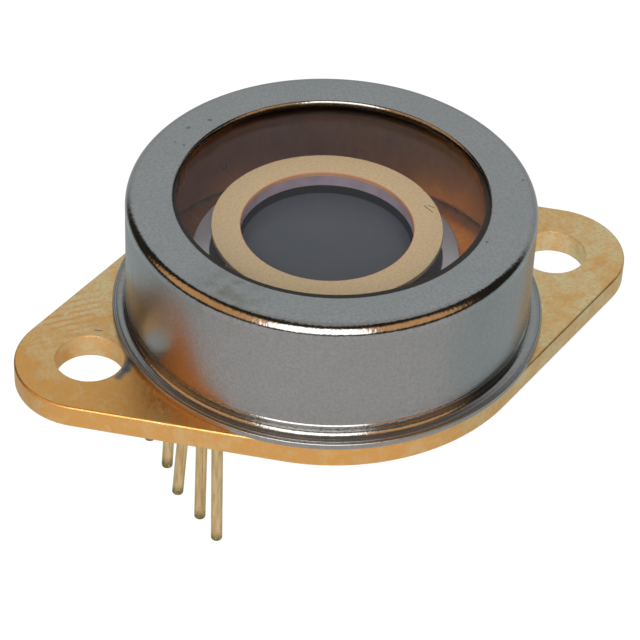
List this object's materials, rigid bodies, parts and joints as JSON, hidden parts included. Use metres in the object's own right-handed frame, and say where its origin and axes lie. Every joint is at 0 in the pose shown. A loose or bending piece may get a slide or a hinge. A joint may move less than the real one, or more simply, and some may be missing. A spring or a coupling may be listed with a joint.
{
  "type": "photodiode",
  "caption": "Round windowed metal can on a gold-plated flanged header with a row of leads, holding a large silicon photodiode on a thermoelectric cooler.",
  "frame": {"origin": "centre of the header's flat seating face, under the can's axis", "axes": "+Z out through the window, X along the line of the mounting holes with the lead row at -X"},
  "size_m": [0.039, 0.0258, 0.021],
  "materials": {
    "gold_header": "satin gold plate over steel",
    "gold_leads": "satin gold plate",
    "gold_ring": "matte pale gold plate",
    "gold_wire": "bright gold",
    "nickel_can": "satin nickel plate",
    "window_glass": "clear polished",
    "solder_glass": "dark solder glass",
    "seal_glass": "dark green-grey sealing glass",
    "alumina": "fired white alumina",
    "silicon": "polished coated silicon",
    "solder": "reflowed solder",
    "copper": "plated copper",
    "telluride": "sawn bismuth telluride",
    "thermistor_body": "dark sintered oxide"
  },
  "bodies": {
    "root": {"header": "gold_header", "can": "nickel_can", "window": "window_glass", "window_seal": "solder_glass", "aperture_ring": "gold_ring", "ceramic_frame": "alumina", "photodiode_chip": "silicon", "die_attach": "solder", "chip_carrier": "alumina", "carrier_solder": "solder", "cooler_cold_plate": "alumina", "cooler_cold_straps": "copper", "cooler_pellets_n": "telluride", "cooler_pellets_p": "telluride", "cooler_hot_straps": "copper", "cooler_hot_plate": "alumina", "header_solder": "solder", "carrier_pads": "gold_wire", "anode_strip": "gold_wire", "thermistor": "thermistor_body", "anode_wire": "gold_wire", "cathode_wire": "gold_wire", "thermistor_wire": "gold_wire", "thermistor_case_wire": "gold_wire", "cooler_wire_1": "copper", "cooler_wire_2": "copper", "lead_01": "gold_leads", "lead_seal_01": "seal_glass", "lead_02": "gold_leads", "lead_seal_02": "seal_glass", "lead_03": "gold_leads", "lead_seal_03": "seal_glass", "lead_04": "gold_leads", "lead_seal_04": "seal_glass", "lead_05": "gold_leads", "lead_seal_05": "seal_glass"}
  },
  "joints": []
}
